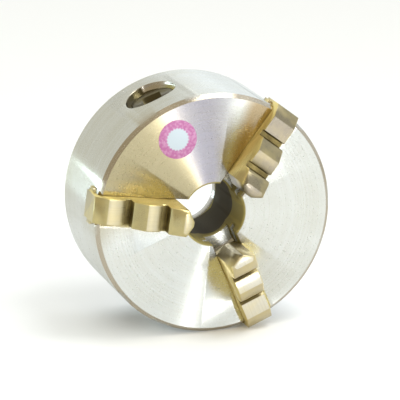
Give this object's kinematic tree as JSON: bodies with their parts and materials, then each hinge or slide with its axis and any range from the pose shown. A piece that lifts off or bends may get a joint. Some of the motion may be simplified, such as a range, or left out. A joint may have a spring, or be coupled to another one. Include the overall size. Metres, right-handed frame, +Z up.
{
  "type": "lathe chuck",
  "caption": "Self-centring scroll chuck for a lathe: round steel body, stepped jaws in radial slots, a spiral scroll plate and bevel pinions turned by a square key.",
  "frame": {"origin": "centre of the rear mounting face, on the spindle axis", "axes": "+Y along the spindle axis towards the headstock, so the front face looks along -Y; +Z up"},
  "size_m": [0.1272, 0.0805, 0.125],
  "materials": {
    "body_steel": "turned and ground",
    "jaw_steel": "ground, hardened",
    "scroll_steel": "machined, oiled",
    "pinion_steel": "hardened, dark",
    "cover_steel": "turned",
    "screw_steel": "black oxide",
    "dowel_steel": "ground",
    "label_paper": "printed, matt"
  },
  "bodies": {
    "chuck": {"chuck_body": "body_steel", "back_cover": "cover_steel", "inspection_label": "label_paper", "cover_screw_1": "screw_steel", "cover_screw_2": "screw_steel", "cover_screw_3": "screw_steel", "cover_screw_4": "screw_steel", "cover_screw_5": "screw_steel", "cover_screw_6": "screw_steel", "cover_dowel_1": "dowel_steel", "cover_dowel_2": "dowel_steel", "pinion_screw_1": "screw_steel", "pinion_screw_2": "screw_steel", "pinion_screw_3": "screw_steel"},
    "scroll": {"scroll_plate": "scroll_steel"},
    "jaw_1_body": {"jaw_1": "jaw_steel"},
    "pinion_1_body": {"pinion_1": "pinion_steel"},
    "jaw_2_body": {"jaw_2": "jaw_steel"},
    "pinion_2_body": {"pinion_2": "pinion_steel"},
    "jaw_3_body": {"jaw_3": "jaw_steel"},
    "pinion_3_body": {"pinion_3": "pinion_steel"}
  },
  "joints": [
    {"name": "scroll_turn", "type": "hinge", "parent": "chuck", "child": "scroll", "pos_m": [0, -0.04, 0], "axis": [0, -1, 0], "range_deg": [-430, 1185]},
    {"name": "jaw_1_slide", "type": "slide", "parent": "chuck", "child": "jaw_1_body", "axis": [0.6088, 0, 0.7934], "range_m": [-0.0165, 0.006]},
    {"name": "jaw_2_slide", "type": "slide", "parent": "chuck", "child": "jaw_2_body", "axis": [-0.9914, 0, 0.1305], "range_m": [-0.0165, 0.006]},
    {"name": "jaw_3_slide", "type": "slide", "parent": "chuck", "child": "jaw_3_body", "axis": [0.3827, 0, -0.9239], "range_m": [-0.0165, 0.006]},
    {"name": "pinion_1_turn", "type": "hinge", "parent": "chuck", "child": "pinion_1_body", "pos_m": [-0.01913, -0.026, 0.04619], "axis": [-0.3827, 0, 0.9239], "range_deg": [-4745, 1725]},
    {"name": "pinion_2_turn", "type": "hinge", "parent": "chuck", "child": "pinion_2_body", "pos_m": [-0.03044, -0.026, -0.03967], "axis": [-0.6088, 0, -0.7934], "range_deg": [-4745, 1725]},
    {"name": "pinion_3_turn", "type": "hinge", "parent": "chuck", "child": "pinion_3_body", "pos_m": [0.04957, -0.026, -0.00653], "axis": [0.9914, 0, -0.1305], "range_deg": [-4745, 1725]}
  ],
  "couplings": [
    {"joint": "jaw_1_slide", "follows": "scroll_turn", "m_per_rad": -0.00079577},
    {"joint": "jaw_2_slide", "follows": "scroll_turn", "m_per_rad": -0.00079577},
    {"joint": "jaw_3_slide", "follows": "scroll_turn", "m_per_rad": -0.00079577},
    {"joint": "pinion_1_turn", "follows": "scroll_turn", "ratio": -4},
    {"joint": "pinion_2_turn", "follows": "scroll_turn", "ratio": -4},
    {"joint": "pinion_3_turn", "follows": "scroll_turn", "ratio": -4}
  ]
}
